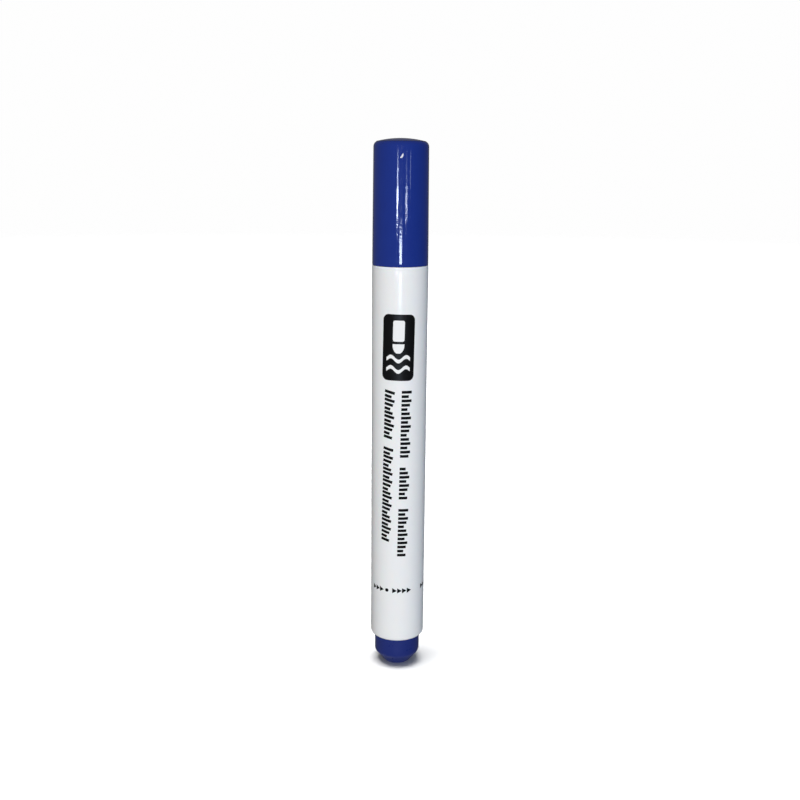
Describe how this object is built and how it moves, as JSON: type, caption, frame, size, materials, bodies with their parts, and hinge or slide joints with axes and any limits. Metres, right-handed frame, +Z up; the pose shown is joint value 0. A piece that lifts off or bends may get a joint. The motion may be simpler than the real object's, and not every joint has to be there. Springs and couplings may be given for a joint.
{
  "type": "whiteboard marker",
  "caption": "Refillable bullet-tip whiteboard marker: white barrel, blue pull-off cap and blue screw-in tail plug with a tapered foot.",
  "frame": {"origin": "centre of the flat foot under the tail plug, where the marker stands", "axes": "+Z up along the marker's axis, from the tail plug to the top of the cap; the print faces -Y"},
  "size_m": [0.0144, 0.0144, 0.1413],
  "materials": {
    "blue_gloss": "glossy moulded polypropylene",
    "natural_plastic": "natural moulded polyethylene",
    "white_gloss": "glossy moulded polypropylene",
    "white_holder": "glossy moulded polypropylene",
    "inked_felt": "bonded polyester felt, soaked in ink",
    "ink_fibre": "fibre rod, soaked in ink",
    "film": "thin plastic film",
    "blue_satin": "satin moulded polypropylene",
    "seal_rubber": "black rubber"
  },
  "bodies": {
    "plug": {"tail_plug": "blue_satin"},
    "seal": {"plug_seal": "seal_rubber"},
    "barrel": {"barrel": "white_gloss", "nib_holder": "white_holder", "nib": "inked_felt", "reservoir_core": "ink_fibre", "reservoir_wrap": "film"},
    "cap": {"cap_shell": "blue_gloss", "inner_cap": "natural_plastic"}
  },
  "joints": [
    {"name": "plug_turn", "type": "hinge", "parent": "plug", "child": "seal", "pos_m": [0, 0, 0.0082], "axis": [0, 0, 1], "range_deg": [0, 900]},
    {"name": "plug_lift", "type": "slide", "parent": "seal", "child": "barrel", "axis": [0, 0, 1], "range_m": [0, 0.0075]},
    {"name": "cap_pull", "type": "slide", "parent": "barrel", "child": "cap", "axis": [0, 0, 1], "range_m": [0, 0.042]}
  ],
  "couplings": [
    {"joint": "plug_lift", "follows": "plug_turn", "m_per_rad": 0.00047746}
  ]
}
